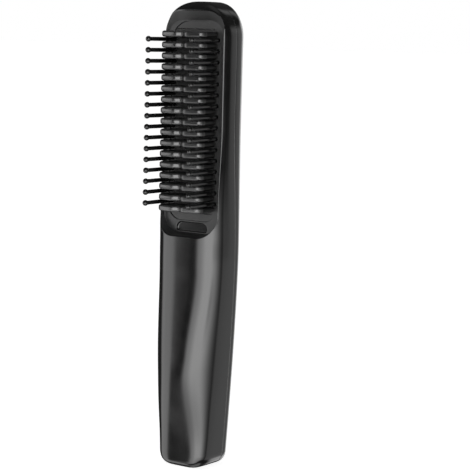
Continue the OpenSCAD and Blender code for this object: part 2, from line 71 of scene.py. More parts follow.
# Opening round the comb
RIM_X = 15.5
RIM_TOP = BODY_LEN - 3.8
RIM_Z = 102.2
RIM_ROUND = 8.0
RIM_ROUND_LOW = 9.0
RIM_LIP = 0.35              # rounding of the rim, and of the wall's foot
WALL_TURN = 0.15
FLOOR_X = 13.1              # edge of the comb frame's floor
FLOOR_Y = 6.5
FLOOR_LOW = RIM_Z + 6.6
FLOOR_TOP = RIM_TOP - 4.6
FLOOR_ROUND = 9.5
FLOOR_ROUND_LOW = FLOOR_ROUND - 3
LAND_X = 14.9               # the casing's flat border round the comb frame
LAND_Y = FLOOR_Y + 0.45
LAND_LOW = RIM_Z + 1.4
LAND_TOP = FLOOR_TOP + 0.3
LAND_ROUND = 7.6
LAND_ROUND_LOW = 8.0
PAINTED_LIGHT_END = 2.2             # painted light: the bevel's lighter charcoal ends this far above the border's foot
SHELF_Y = FLOOR_Y - 1.5
SCOOP_X = 8.4
SCOOP_Y = FLOOR_Y - 0.7
SCOOP_LIP = 0.25
SCOOP_TURN = 0.5

# Where the body changes along its length, and how long each change takes
TAPER_Z = RIM_Z - 8.2
TAPER_CURVE = 1.5
SHOULDER_Z = RIM_Z + 47
SWELL_Z = RIM_Z - 13
WAIST_LEN = 45.0
FOOT_LEN = 35.0
PART_LEN = 60.0

# Squareness of a section: 2 is an ellipse, and more is firmer
HEAD_POWER = 6.0
WAIST_POWER = 4.0
GRIP_POWER = 3.3
FOOT_POWER = 6.0
BACK_POWER = 4.0
WAIST_SOFT_LEN = 50.0
GRIP_SOFT_LEN = 45.0

# Comb and bristles
ROWS = 16
PITCH = 4.7
FIRST_ROW = FLOOR_TOP - 8.1
TOOTH_T = 2.5
TOOTH_X = 11.5
TOOTH_Y = 18.8
TIP_SEAM = TOOTH_Y - 4.4    # where the heated part of a tooth ends and its tip begins
TIP_T = 2.7
TIP_EDGE = 0.95
LOBE_R = 3.0
LOBE_SLOPE = 0.15           # fall of each lobe towards the side of its tooth
DIP_HALF = 2.6
DIP_DEPTH = 2.2
DIP_SOFT = 0.16
CREST_SOFT = 0.8
BRISTLE_X = 11.6
BRISTLE_Y = 26.5
BRISTLE_R = 0.9
BALL_R = 1.25
BALL_NECK = 137             # degrees from the ball's tip to its neck
STRIP_GAP = 0.15
COMB_X = BRISTLE_X - 1.4
COMB_TOP = FIRST_ROW + PITCH
COMB_LOW = FIRST_ROW + PITCH / 2 - PITCH * ROWS - TOOTH_T / 2 - 1.1
FRAME_BACK = SHELF_Y - 1.5
TEETH_Z = [FIRST_ROW + PITCH / 2 - PITCH * j for j in range(ROWS + 1)]

# Button
BUTTON_Z = 36.2
BUTTON_R = 4.9
CAP_PROUD = 0.45
CAP_DOME = 0.5
CAP_EDGE = 0.35
FLANGE = 0.45
FLANGE_Y = (6.1, 6.6)
RING_IN = 4.98
RING_OUT = 5.68
RING_RISE = 0.36
RING_BACK_Y = 6.7
SEAT_OUT = 6.75             # rounded edge of the casing round the ring
SEAT_IN = 6.45
SEAT_EDGE = 0.25

# Power sign
ARC_R = 2.15
ARC_GAP = 38                # degrees on each side of the bar
BAR_Z = (0.35, 2.9)
LINE_HALF = 0.36
LINE_RISE = 0.16

# Charging port
SOCKET_Y = 2.9
PORT_HALF = 4.72
PORT_R = 1.85


# ---------------------------------------------------------------- forms

def smooth(t):
    """Eased step from 0 to 1."""
    t = np.clip(t, 0, 1)
    return t * t * (3 - 2 * t)


def arc_drop(d, r):
    """How far a rounded edge of radius r has fallen at distance d from its start."""
    d = np.clip(d, 0, r)
    return r - np.sqrt(r * r - d * d)


def half_w(z):
    """Half the width of the body."""
    taper = np.clip(TAPER_Z - z, 0, None) / TAPER_Z
    return (HEAD_W / 2 - (HEAD_W - FOOT_W) / 2 * taper ** TAPER_CURVE
            - arc_drop(z - BODY_LEN + CROWN_ROUND, CROWN_ROUND)
            - arc_drop(FOOT_ROUND - z, FOOT_ROUND))


def edge_drop(z, crown_edge):
    """How far the rounded edges at the foot and the crown draw a face in."""
    return arc_drop(FOOT_EDGE - z, FOOT_EDGE) + arc_drop(z - BODY_LEN + crown_edge, crown_edge)


def front_reach(z):
    """Reach of the front: flat head, waist, palm swell, foot."""
    return (HEAD_FRONT + (WAIST_FRONT - HEAD_FRONT) * smooth((SHOULDER_Z - z) / WAIST_LEN)
            + (GRIP_FRONT - WAIST_FRONT) * smooth((SWELL_Z - z) / (SWELL_Z - GRIP_Z))
            + (FOOT_FRONT - GRIP_FRONT) * smooth((GRIP_Z - z) / FOOT_LEN))


def back_reach(z):
    return BACK_FOOT + (BACK_HEAD - BACK_FOOT) * z / BODY_LEN


def parting(z):
    """Y of the line where the two casings meet."""
    return PART_FOOT + (PART_HEAD - PART_FOOT) * smooth((z - TAPER_Z) / PART_LEN)


def depth(z, side):
    """Reach of one half of a section from the parting line."""
    if side == FRONT:
        return front_reach(z) - edge_drop(z, FRONT_EDGE) + parting(z)
    return back_reach(z) - edge_drop(z, BACK_EDGE) - parting(z)


def power(z, side):
    """Squareness of one half of a section."""
    if side == BACK:
        return BACK_POWER + 0 * z
    return (HEAD_POWER + (WAIST_POWER - HEAD_POWER) * smooth((SHOULDER_Z - z) / WAIST_SOFT_LEN)
            + (GRIP_POWER - WAIST_POWER) * smooth((SWELL_Z - z) / GRIP_SOFT_LEN)
            + (FOOT_POWER - GRIP_POWER) * smooth((GRIP_Z - z) / GRIP_Z))


def skin_point(a, z, side):
    """Point of the casing at angle a (radians, 0 on the +X parting line) and height z."""
    c, s = np.cos(a), np.clip(np.sin(a), 0, 1)
    n = power(z, side)
    x = half_w(z) * np.sign(c) * np.abs(c) ** (2 / n)
    y = parting(z) + side * depth(z, side) * s ** (2 / n)
    return np.stack([x, y, z + 0 * a], -1)


def skin_angle(x, z, side):
    """Angle at which the casing has this X."""
    r = np.clip(x / half_w(z), -1, 1)
    return np.arccos(np.sign(r) * np.abs(r) ** (power(z, side) / 2))


def on_skin(loop, side):
    """A loop in X and Z, laid on the casing."""
    return skin_point(skin_angle(loop[:, 0], loop[:, 1], side), loop[:, 1], side)


def skin_normal(p, side):
    """Outward normal of the casing, from the slopes of its equation."""
    h = 0.02
    step = h * np.eye(3)

    def level(q):
        z = np.clip(q[..., 2], 0, BODY_LEN)
        n = power(z, side)
        reach = np.clip(side * (q[..., 1] - parting(z)), 0, None) / depth(z, side)
        return (np.abs(q[..., 0]) / half_w(z)) ** n + reach ** n

    inside = np.stack([p[..., 0], p[..., 1], np.clip(p[..., 2], h, BODY_LEN - h)], -1)
    slopes = [level(p + e) - level(p - e) for e in step[:2]]
    slopes.append(level(inside + step[2]) - level(inside - step[2]))
    return unit(np.stack(slopes, -1))


def unit(v):
    return v / np.maximum(np.linalg.norm(v, axis=-1, keepdims=True), 1e-12)


def outline(half, low, high, r_top, r_low, steps=14):
    """Rounded rectangle in X and Z, anticlockwise from the middle of its foot, seen from -Y."""
    corners = [(half - r_low, low + r_low, r_low, -90), (half - r_top, high - r_top, r_top, 0),
               (r_top - half, high - r_top, r_top, 90), (r_low - half, low + r_low, r_low, 180)]

    def on_corner(corner, turn):
        cx, cz, r, start = corner
        t = math.radians(start + turn)
        return np.array([cx + r * math.cos(t), cz + r * math.sin(t)])

    def line(a, b, count):
        return [a + (b - a) * (i / count) for i in range(count)]

    foot = np.array([0, low])
    points = line(foot, np.array([half - r_low, low]), steps)
    for k, corner in enumerate(corners):
        points += [on_corner(corner, 90 * i / (2 * steps)) for i in range(2 * steps)]
        end = on_corner(corner, 90)
        points += line(end, foot, steps) if k == 3 else line(end, on_corner(corners[k + 1], 0),
                                                             4 * steps)
    return np.array(points)


def circle_xz(r, z, steps=72):
    t = np.arange(steps) * 2 * math.pi / steps - math.pi / 2
    return np.stack([r * np.cos(t), z + r * np.sin(t)], -1)


def grown(loop, by):
    """Moves every point of a closed loop outwards."""
    d = unit(np.roll(loop, -1, 0) - np.roll(loop, 1, 0))
    return loop + by * np.stack([d[:, 1], -d[:, 0]], -1)


def at_depth(loop, y):
    """A loop in X and Z, laid flat at a reach in front of the Z axis."""
    return np.stack([loop[:, 0], np.full(len(loop), -y), loop[:, 1]], -1)


# ---------------------------------------------------------------- meshes

# Places of a piece's finishes: its own, then those that dress() gets as also
OWN, DISH, PAINTED_LIGHT_BEVEL = 0, 1, 2
PLATE = 1


class Shell:
    """Gathers surfaces, each with its own normals, and makes one object of them."""

    def __init__(self):
        self.verts, self.normals, self.faces, self.count = [], [], [], 0
        self.finish, self.finishes = OWN, []

    def add(self, verts, faces, normals=None, sees=None):
        """Faces turn to agree with the normals or, without them, towards the point they see."""
        verts = np.asarray(verts, float).reshape(-1, 3)
        if normals is None:
            normals = vertex_normals(verts, faces)
            if (normals * (np.array(sees) - verts)).sum() < 0:
                normals = -normals
        normals = np.asarray(normals, float).reshape(-1, 3)
        for f in faces:
            p = verts[f]
            out = np.cross(p - p[0], np.roll(p, -1, 0) - p[0]).sum(0)
            turned = np.dot(out, normals[f].sum(0)) < 0
            self.faces.append([i + self.count for i in (f[::-1] if turned else f)])
            self.finishes.append(self.finish)
        self.verts.append(verts)
        self.normals.append(normals)
        self.count += len(verts)

    def strip(self, rows, closed=True, normals=None, sees=None):
        """Quads between rows of points."""
        rows = np.asarray(rows, float)
        self.add(rows.reshape(-1, 3), row_faces(rows, closed), normals, sees)

    def flat(self, loop, normal):
        """One flat face."""
        self.add(loop, [list(range(len(loop)))], np.tile(normal, (len(loop), 1)))

    def make(self, name):
        mesh = bpy.data.meshes.new(name)
        mesh.from_pydata((np.concatenate(self.verts) * MM).tolist(), [], self.faces)
        mesh.polygons.foreach_set("use_smooth", [True] * len(mesh.polygons))
        mesh.polygons.foreach_set("material_index", self.finishes)
        mesh.normals_split_custom_set_from_vertices(unit(np.concatenate(self.normals)).tolist())
        mesh.validate()
        obj = bpy.data.objects.new(name, mesh)
        bpy.context.collection.objects.link(obj)
        return obj


def row_faces(rows, closed=True):
    m, n = rows.shape[:2]
    return [[j * n + i, j * n + (i + 1) % n, (j + 1) * n + (i + 1) % n, (j + 1) * n + i]
            for j in range(m - 1) for i in range(n if closed else n - 1)]


def row_normals(rows, sees):
    """Normals of a closed strip, on the side of the point that it faces."""
    n = vertex_normals(rows.reshape(-1, 3), row_faces(rows)).reshape(rows.shape)
    return n if (n * (np.array(sees) - rows)).sum() > 0 else -n


def vertex_normals(verts, faces):
    out = np.zeros_like(verts)
    for f in faces:
        p = verts[f]
        out[f] += np.cross(p - p.mean(0), np.roll(p, -1, 0) - p.mean(0)).sum(0)
    return unit(out)


def bend(a, corner, b, steps):
    """Rows of a rounded edge from loop a to loop b past the corner loop."""
    t = np.linspace(0, 1, steps + 1)[:, None, None]
    return (1 - t) ** 2 * a + 2 * t * (1 - t) * corner + t * t * b


def inside_loop(points, loop):
    x, y = points[:, 0][:, None], points[:, 1][:, None]
    x0, y0 = loop[:, 0], loop[:, 1]
    x1, y1 = np.roll(x0, -1), np.roll(y0, -1)
    cross = (y0 > y) != (y1 > y)
    at = x0 + (y - y0) * (x1 - x0) / np.where(y1 == y0, 1, y1 - y0)
    return ((cross & (x < at)).sum(1) % 2) == 1


def near_loop(points, loop, gap):
    """Which points lie closer to the loop than the gap, a few thousand at a time."""
    out, batch = np.zeros(len(points), bool), 4000
    for i in range(0, len(points), batch):
        d = np.linalg.norm(points[i:i + batch, None] - loop[None], axis=2).min(1)
        out[i:i + batch] = d < gap
    return out


def sheet_round(points, holes, outer=None):
    """Triangles over a plane through the points, open inside the holes."""
    loops = holes + ([] if outer is None else [outer])
    given = np.concatenate([points] + loops)
    edges, first = [], len(points)
    for loop in loops:
        edges += [(first + i, first + (i + 1) % len(loop)) for i in range(len(loop))]
        first += len(loop)
    made = delaunay_2d_cdt([Vector(p) for p in given], edges, [], 0, 1e-6)
    verts = np.array([given[i[0]] if i else tuple(p) for p, i in zip(made[0], made[3])])
    faces = np.array([list(f) for f in made[2]])
    mid = verts[faces].mean(1)
    keep = np.ones(len(faces), bool) if outer is None else inside_loop(mid, outer)
    for hole in holes:
        keep &= ~inside_loop(mid, hole)
    return verts, faces[keep].tolist()


# ---------------------------------------------------------------- casings

SKIN_STEPS = 96            # points round half a section
SPREAD = 60 / math.pi      # stretches the angle to a length for the triangulation
RING_GAP = 2.0             # heights between plain rings, and in the sheets with an opening
FRONT_SHEET_GAP = 1.6
REAR_SHEET_GAP = 1.2
HOLE_CLEAR = 0.35
SEAM_ANGLE = 0.012         # the skin stops this short of the parting line, in radians
SEAM = 0.22                # rounding of the casings' edges along the parting line
SEAM_DEEP = 0.25
MEET_GAP = 0.03
MEET_W = 1.2
CROWN_SEAM = 0.05
DISH_VIEW = (0, -60, 150)  # points that the walls of the openings face
SCOOP_VIEW = (0, -40, RIM_Z + 4)
BUTTON_VIEW = (0, 60, BUTTON_Z)


def ring_steps(low, high, step):
    n = max(2, int(round((high - low) / step)))
    return [low + (high - low) * i / n for i in range(n)]


FOOT_RINGS = [FOOT_ROUND * (1 - math.cos(math.radians(a))) for a in range(0, 90, 9)]
CROWN_START = BODY_LEN - CROWN_ROUND
CROWN_RINGS = [BODY_LEN - CROWN_ROUND * (1 - math.cos(math.radians(a)))
               for a in range(90, -1, -6)]


def casing_half(shell, side, low, high, hole):
    """Outside of one casing: plain rings, and from low to high a sheet with a hole in it.

    Without a high the sheet runs to the crown.
    """
    angles = SEAM_ANGLE + (math.pi - 2 * SEAM_ANGLE) * np.arange(SKIN_STEPS + 1) / SKIN_STEPS
    plain = [FOOT_RINGS + ring_steps(FOOT_ROUND, low, RING_GAP) + [low]]
    if high is None:
        rings = ring_steps(low, CROWN_START, FRONT_SHEET_GAP) + CROWN_RINGS
    else:
        rings = ring_steps(low, high, REAR_SHEET_GAP) + [high]
        plain.append(ring_steps(high, CROWN_START, RING_GAP) + CROWN_RINGS)
    for heights in plain:
        z = np.array(heights)[:, None]
        p = skin_point(angles[None, :] + 0 * z, z + 0 * angles[None, :], side)
        n = skin_normal(p, side)
        if heights[0] == 0:
            n[0] = (0, 0, -1)
        if heights[-1] == BODY_LEN:
            n[-1] = (0, 0, 1)
        shell.strip(p, closed=False, normals=n)

    grid = np.array([[a * SPREAD, z] for z in rings for a in angles])
    loop = np.stack([skin_angle(hole[:, 0], hole[:, 1], side) * SPREAD, hole[:, 1]], -1)
    keep = ~inside_loop(grid, loop) & ~near_loop(grid, loop, HOLE_CLEAR)
    flat, faces = sheet_round(grid[keep], [loop])
    p = skin_point(flat[:, 0] / SPREAD, flat[:, 1], side)
    n = skin_normal(p, side)
    n[flat[:, 1] > BODY_LEN - 1e-4] = (0, 0, 1)
    shell.add(p, faces, n)
    edge_of_casing(shell, side)
    ends_of_casing(shell, side, angles)


def edge_of_casing(shell, side):
    """Rounded edge along the parting line, and the face that meets the other casing."""
    z = np.array(FOOT_RINGS + ring_steps(FOOT_ROUND, CROWN_START, RING_GAP) + CROWN_RINGS)
    for a, way in ((SEAM_ANGLE, 1), (math.pi - SEAM_ANGLE, -1)):
        start = skin_point(np.full_like(z, a), z, side)
        x, y = way * half_w(z), parting(z)
        corner = np.stack([x, y, z], -1)
        down = np.stack([x - way * SEAM, y + side * MEET_GAP, z], -1)
        inner = np.stack([x - way * MEET_W, y + side * MEET_GAP, z], -1)
        first = start * 0.6 + corner * 0.4
        first[:, 1] = y + side * np.minimum(np.abs(start[:, 1] - y), SEAM_DEEP)
        rows = np.concatenate([[start], bend(first, corner, down, 4), [inner]])
        shell.strip(rows, closed=False, sees=(way * 300, -side * 300, 100))


def end_loop(side, angles, z, seam_y):
    """Edge of a casing's flat at the crown or the foot, from seam to seam."""
    x = half_w(z)
    skin = skin_point(angles, np.full_like(angles, z), side)
    return np.concatenate([[[x, seam_y, z]], skin, [[-x, seam_y, z]]])


def ends_of_casing(shell, side, angles):
    """Flats of the crown and the foot, with this casing's half of the charging port."""
    shell.flat(end_loop(side, angles, BODY_LEN, PART_HEAD + side * CROWN_SEAM), (0, 0, 1))
    x = PORT_HALF - PORT_R
    start = -side * math.asin((SOCKET_Y - PART_FOOT) / PORT_R)
    turn = np.linspace(start, math.pi / 2, 13)
    notch = [(-x - PORT_R * math.cos(t), SOCKET_Y + side * PORT_R * math.sin(t), 0)
             for t in turn]
    notch = np.array(notch + [(-px, py, 0) for px, py, _ in notch[::-1]])
    foot = end_loop(side, angles, 0.0, PART_FOOT)
    shell.flat(np.concatenate([foot, notch]), (0, 0, -1))
    shell.strip([notch, notch + (0, 0, WALL)], closed=False, sees=(0, SOCKET_Y, 1))


def front_casing():
    """Front skin, with the dish round the comb."""
    shell = Shell()
    rim = outline(RIM_X, RIM_Z, RIM_TOP, RIM_ROUND, RIM_ROUND_LOW)
    land = outline(LAND_X, LAND_LOW, LAND_TOP, LAND_ROUND, LAND_ROUND_LOW)
    wide = grown(rim, RIM_LIP)
    casing_half(shell, FRONT, RIM_Z - 4.0, None, wide)
    edge, bed = on_skin(rim, FRONT), at_depth(land, LAND_Y)
    down = edge + unit(bed - edge) * RIM_LIP
    rows = bend(on_skin(wide, FRONT), edge, down, 6)
    normals = row_normals(rows, DISH_VIEW)
    normals[0] = skin_normal(rows[0], FRONT)
    shell.strip(rows, normals=normals)

    shell.finish = DISH
    foot = bed + unit(edge - bed) * WALL_TURN
    first = len(shell.faces)
    shell.strip([down + (foot - down) * t for t in np.linspace(0, 1, 9)], sees=DISH_VIEW)
    # The wall, except its lowest strip, takes the bevel's lighter copy of the charcoal: painted
    # light on the dish wall.
    for i in range(first, len(shell.faces)):
        if land[(i - first) % len(land), 1] > LAND_LOW + PAINTED_LIGHT_END:
            shell.finishes[i] = PAINTED_LIGHT_BEVEL
    inner = grown(land, -WALL_TURN)
    shell.strip(bend(foot, bed, at_depth(inner, LAND_Y), 3), sees=DISH_VIEW)
    land_with_scoop(shell, inner)
    return shell.make("front_casing_skin")


def land_with_scoop(shell, edge):
    """The flat border round the comb frame, with the scoop under the last tooth."""
    frame_edge = outline(FLOOR_X, FLOOR_LOW, FLOOR_TOP, FLOOR_ROUND, FLOOR_ROUND_LOW)
    cut = outline(SCOOP_X, LAND_LOW + 0.5, FLOOR_LOW - 0.6, 3, 1, 6)
    wide, tight = grown(cut, SCOOP_LIP), grown(cut, -SCOOP_TURN)
    flat, faces = sheet_round(np.zeros((0, 2)), [wide, frame_edge], edge)
    shell.add(at_depth(flat, LAND_Y), faces, np.tile((0, -1, 0), (len(flat), 1)))
    shell.strip([at_depth(frame_edge, LAND_Y), at_depth(frame_edge, SHELF_Y - 0.4)],
                sees=(0, -FLOOR_Y, 150))
    corner = at_depth(cut, LAND_Y)
    lip = corner + (0, SCOOP_LIP, 0)
    shell.strip(bend(at_depth(wide, LAND_Y), corner, lip, 4), sees=SCOOP_VIEW)
    # The scoop's wall and floor take the casing's darker charcoal instead of the dish's:
    # painted shade in the scoop.
    shell.finish = OWN
    wall = at_depth(cut, SCOOP_Y + SCOOP_TURN)
    shell.strip([lip, wall], sees=(0, -SCOOP_Y, RIM_Z + 4))
    foot = at_depth(tight, SCOOP_Y)
    shell.strip(bend(wall, at_depth(cut, SCOOP_Y), foot, 4), sees=SCOOP_VIEW)
    shell.flat(foot, (0, -1, 0))


def rear_casing():
    """Rear skin, with the seat of the button's ring."""
    shell = Shell()
    wide = circle_xz(SEAT_OUT, BUTTON_Z)
    casing_half(shell, BACK, BUTTON_Z - 10, BUTTON_Z + 10, wide)
    lip = on_skin(circle_xz(SEAT_IN - SEAT_EDGE, BUTTON_Z), BACK) + (0, -0.22, 0)
    rows = bend(on_skin(wide, BACK), on_skin(circle_xz(SEAT_IN, BUTTON_Z), BACK), lip, 4)
    normals = row_normals(rows, BUTTON_VIEW)
    normals[0] = skin_normal(rows[0], BACK)
    shell.strip(rows, normals=normals)
    groove_y = back_reach(BUTTON_Z) - 0.5
    groove = at_depth(circle_xz(RING_OUT + 0.1, BUTTON_Z), -groove_y)
    shell.strip([lip, groove], sees=BUTTON_VIEW)
    shell.strip([groove, groove + (0, -1.4, 0)], sees=(0, 7, BUTTON_Z))
    return shell.make("rear_casing_skin")


# ---------------------------------------------------------------- comb

def tooth_outline():
    """Edge of a tooth in X and Y: its right side, a lobe, the dip, a lobe, its left side."""
    fall = math.atan(LOBE_SLOPE)
    cx = TOOTH_X - LOBE_R
    start = cx + LOBE_R * math.sin(fall)
    cy = TOOTH_Y - LOBE_SLOPE * (start - DIP_HALF) - LOBE_R * math.cos(fall)
    right = [(TOOTH_X, -y) for y in np.linspace(TIP_SEAM - 6.0, cy, 10)[:-1]]
    right += [(cx + LOBE_R * math.cos(t), -cy - LOBE_R * math.sin(t))
              for t in np.linspace(0, math.pi / 2 - fall, 14)]
    for x in np.linspace(start - 0.3, 0, 28):
        dip = DIP_DEPTH * (1 - math.sqrt(x * x + DIP_SOFT) / DIP_HALF)
        lobe = LOBE_SLOPE * (x - DIP_HALF)
        deeper = (dip + lobe + math.sqrt((dip - lobe) ** 2 + CREST_SOFT)) / 2
        right.append((x, deeper - TOOTH_Y))
    right = np.array(right)
    return np.concatenate([right, right[-2::-1] * (-1, 1)])


def tip_outline():
    """The grey tip's part of that edge, and its normals."""
    edge = tooth_outline()
    edge = edge[-edge[:, 1] > TIP_SEAM - 1e-6]
    edge = np.concatenate([[(TOOTH_X, -TIP_SEAM)], edge, [(-TOOTH_X, -TIP_SEAM)]])
    apart = np.linalg.norm(np.diff(edge, axis=0), axis=1) > 1e-3
    edge = edge[np.concatenate([[True], apart])]
    d = np.gradient(edge, axis=0)
    normals = unit(np.stack([-d[:, 1], d[:, 0]], -1))
    normals[0], normals[-1] = (1, 0), (-1, 0)
    return edge, normals


def tooth_tips():
    """Seventeen flat tips, with rounded edges all the way round their lobes."""
    shell = Shell()
    edge, out = tip_outline()
    for z in TEETH_Z:
        rows, normals = [], []
        for flank in (-1, 1):
            for t in np.linspace(0, math.pi / 2, 7)[::flank]:
                p = edge - out * TIP_EDGE * (1 - math.cos(t))
                height = z + flank * (TIP_T / 2 - TIP_EDGE * (1 - math.sin(t)))
                rows.append(np.column_stack([p, np.full(len(p), height)]))
                normals.append(np.column_stack([out * math.cos(t),
                                                np.full(len(p), flank * math.sin(t))]))
        shell.strip(rows, closed=False, normals=normals)
        shell.flat(rows[0], (0, 0, -1))
        shell.flat(rows[-1], (0, 0, 1))
        ends = np.array([[row[0], row[-1]] for row in rows])
        shell.flat(np.concatenate([ends[:, 0], ends[::-1, 1]]), (0, 1, 0))
    return shell.make("tooth_tips_form")


def tooth_blade(shell, z):
    """Heated part of a tooth, from the plate to its tip, with round sides."""
    r = TOOTH_T / 2
    turn = np.linspace(-math.pi / 2, math.pi / 2, 9)
    right = [(TOOTH_X - r + r * math.cos(t), r * math.sin(t)) for t in turn]
    loop = np.array(right + [(-x, dz) for x, dz in right[::-1]])
    out = np.array([(math.cos(t), 0, math.sin(t)) for t in turn]
                   + [(-math.cos(t), 0, math.sin(t)) for t in turn[::-1]])
    rows = [at_depth(loop + (0, z), y) for y in (FLOOR_Y + 0.3, TIP_SEAM)]
    shell.strip(rows, normals=[out, out])
    shell.flat(rows[0], (0, 1, 0))
    shell.flat(rows[1], (0, -1, 0))


def block(shell, low, high, bevel):
    """Box with bevelled edges round its front face."""
    x0, y0, z0 = low
    x1, y1, z1 = high
    b = bevel
    front = [(x0 + b, z0 + b), (x1 - b, z0 + b), (x1 - b, z1 - b), (x0 + b, z1 - b)]
    side = [(x0, z0), (x1, z0), (x1, z1), (x0, z1)]
    loops = [[(x, y0, z) for x, z in front], [(x, y0 + b, z) for x, z in side],
             [(x, y1, z) for x, z in side]]
    shell.flat(loops[0], (0, -1, 0))
    shell.flat(loops[2], (0, 1, 0))
    middle = np.array([(x0 + x1) / 2, (y0 + y1) / 2, (z0 + z1) / 2])
    size = np.array([x1 - x0, y1 - y0, z1 - z0])
    for a, c in zip(loops, loops[1:]):
        for i in range(4):
            k = (i + 1) % 4
            quad = np.array([a[i], a[k], c[k], c[i]])
            n = np.cross(quad[1] - quad[0], quad[3] - quad[0])
            outward = np.dot(n, (quad.mean(0) - middle) / size) > 0
            shell.flat(quad, unit(n if outward else -n))


def heated_comb():
    """Plate with a low rib and a blade for each tooth."""
    shell = Shell()
    shell.finish = PLATE
    block(shell, (-COMB_X, -FLOOR_Y, COMB_LOW), (COMB_X, -FRAME_BACK, COMB_TOP), 0.2)
    shell.finish = OWN
    for z in TEETH_Z:
        tooth_blade(shell, z)
        block(shell, (-COMB_X, -FLOOR_Y - 0.35, z - TOOTH_T / 2),
              (COMB_X, -FLOOR_Y + 0.5, z + TOOTH_T / 2), 0.02)
    return shell.make("heated_comb_form")


def lathe(shell, profile, x, z, steps=24, way=FRONT):
    """Surface turned round a line along Y; the profile is radius and reach."""
    profile = np.array(profile)
    d = np.gradient(profile, axis=0)
    out = unit(np.stack([d[:, 1], -d[:, 0]], -1))
    around = [(math.cos(a), math.sin(a)) for a in np.arange(steps) * 2 * math.pi / steps]
    rows = [[(x + r * c, way * y, z + r * s) for c, s in around] for r, y in profile]
    normals = [[(r * c, way * y, r * s) for c, s in around] for r, y in out]
    shell.strip(rows, normals=normals)


def bristle_strip(side):
    """One column of ball-tipped bristles on its strip: side 1 right, -1 left."""
    shell = Shell()
    near, far = side * (COMB_X + STRIP_GAP), side * (BRISTLE_X + 1.15)
    low, high = FIRST_ROW - PITCH * (ROWS - 1) - 1.8, FIRST_ROW + 1.7
    shell.finish = PLATE
    block(shell, (min(near, far), -FLOOR_Y, low), (max(near, far), -SHELF_Y, high), 0.15)
    shell.finish = OWN
    ball_y = BRISTLE_Y - BALL_R
    root = [(1.06, -0.1), (1.0, 0.25), (0.93, 0.7), (BRISTLE_R, 1.4)]
    profile = [(r, FLOOR_Y + y) for r, y in root]
    profile += [(BRISTLE_R, 12), (BRISTLE_R - 0.02, 18), (BRISTLE_R - 0.04, ball_y - BALL_R)]
    profile += [(max(BALL_R * math.sin(t), 0.001), ball_y + BALL_R * math.cos(t))
                for t in np.linspace(math.radians(BALL_NECK), 0, 15)]
    for i in range(ROWS):
        lathe(shell, profile, side * BRISTLE_X, FIRST_ROW - PITCH * i)
    return shell.make("bristles_right" if side > 0 else "bristles_left")


# ---------------------------------------------------------------- button

def cap_reach(r):
    """Reach of the cap's shallow dome at radius r."""
    ball = (BUTTON_R ** 2 + CAP_DOME ** 2) / (2 * CAP_DOME)
    return back_reach(BUTTON_Z) + CAP_PROUD - ball + math.sqrt(ball * ball - r * r)


def button_cap():
    shell = Shell()
    back, front = FLANGE_Y
    edge_y = cap_reach(BUTTON_R) - CAP_EDGE
    profile = [(BUTTON_R + FLANGE, back), (BUTTON_R + FLANGE, front), (BUTTON_R, front),
               (BUTTON_R, edge_y)]
    profile += [(BUTTON_R - 0.25 * (1 - math.cos(t)), edge_y + 0.33 * math.sin(t))
                for t in np.linspace(0.2, math.pi / 2, 7)]
    profile += [(r, cap_reach(r)) for r in np.linspace(BUTTON_R - 0.5, 0.01, 14)]
    lathe(shell, profile, 0, BUTTON_Z, 72, BACK)
    return shell.make("button_face")


def button_ring():
    shell = Shell()
    mid, half = (RING_IN + RING_OUT) / 2, (RING_OUT - RING_IN) / 2
    crest_y = back_reach(BUTTON_Z) - 0.08
    profile = [(mid + half * math.cos(t), crest_y + RING_RISE * math.sin(t))
               for t in np.linspace(0, math.pi, 15)]
    profile = [(RING_OUT, RING_BACK_Y)] + profile + [(RING_IN, RING_BACK_Y)]
    lathe(shell, profile, 0, BUTTON_Z, 72, BACK)
    return shell.make("button_ring_form")


def power_sign():
    shell = Shell()
    gap = math.radians(ARC_GAP)
    arc = [(ARC_R * math.sin(t), ARC_R * math.cos(t))
           for t in np.linspace(gap, 2 * math.pi - gap, 49)]
    bar = [(0, z) for z in np.linspace(*BAR_Z, 9)]
    for path in (arc, bar):
        ridge(shell, np.array(path))
    return shell.make("power_sign")


def ridge(shell, path):
    """Half-round raised line on the cap's dome, thinner at its ends."""
    d = unit(np.gradient(path, axis=0))
    across = np.stack([-d[:, 1], d[:, 0]], -1)
    place = np.arange(len(path))
    full = np.minimum(1, np.minimum(place, place[::-1]) + 0.35)
    sunk, rows = 0.05, []
    for t in np.linspace(0, math.pi, 9):
        p = path + across * (LINE_HALF * math.cos(t) * full)[:, None]
        y = np.array([cap_reach(math.hypot(*q)) for q in p])
        y += (LINE_RISE + sunk) * math.sin(t) * full - sunk
        rows.append(np.stack([p[:, 0], y, BUTTON_Z + p[:, 1]], -1))
    shell.strip(rows, closed=False, sees=BUTTON_VIEW)


# ---------------------------------------------------------------- finishes

